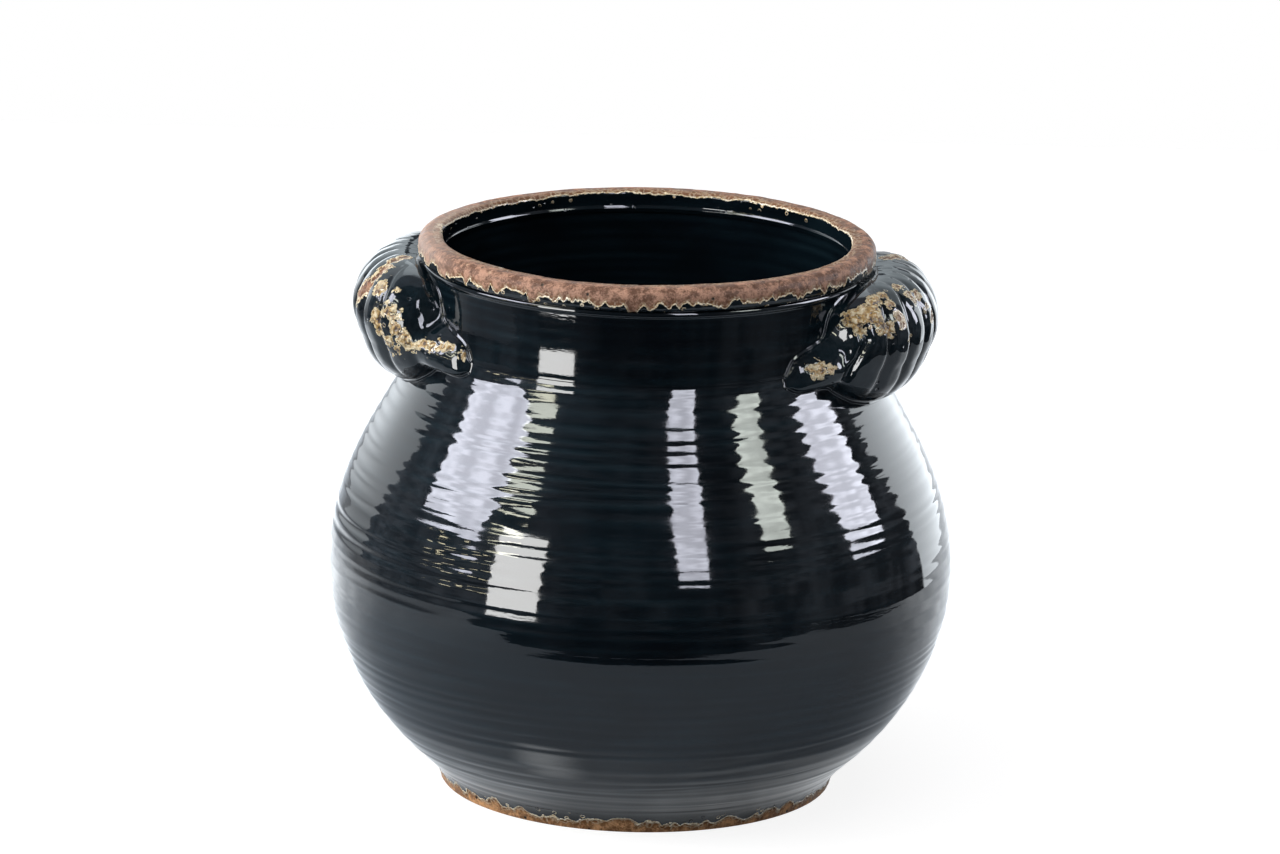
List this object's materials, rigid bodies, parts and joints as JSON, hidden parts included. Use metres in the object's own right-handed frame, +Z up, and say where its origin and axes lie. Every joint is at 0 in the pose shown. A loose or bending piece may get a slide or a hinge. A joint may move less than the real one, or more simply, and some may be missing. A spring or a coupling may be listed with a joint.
{
  "type": "ceramic planter",
  "caption": "Bellied stoneware planter with a short straight neck, a thick rolled lip, a low foot ring and fluted shell handles with scrolled ends.",
  "frame": {"origin": "centre of the foot ring on the ground", "axes": "+Z up along the pot's axis of turning, +X through the middle of the right handle, -Y towards the front"},
  "size_m": [0.2699, 0.27, 0.2415],
  "materials": {
    "dark_glaze": "blue-black gloss glaze over fine throwing rings",
    "worn_lip": "glaze rubbed back to brown clay with a cream broken edge",
    "foot_clay": "bare brown clay under a ragged cream glaze line",
    "handle_glaze": "blue-black gloss glaze worn to cream and brown along the flutes"
  },
  "bodies": {
    "root": {"pot_body": "dark_glaze", "neck_collar": "dark_glaze", "rim_lip": "worn_lip", "foot_ring": "foot_clay", "right_handle_shell": "handle_glaze", "right_front_scroll": "handle_glaze", "right_rear_scroll": "handle_glaze", "left_handle_shell": "handle_glaze", "left_front_scroll": "handle_glaze", "left_rear_scroll": "handle_glaze"}
  },
  "joints": []
}
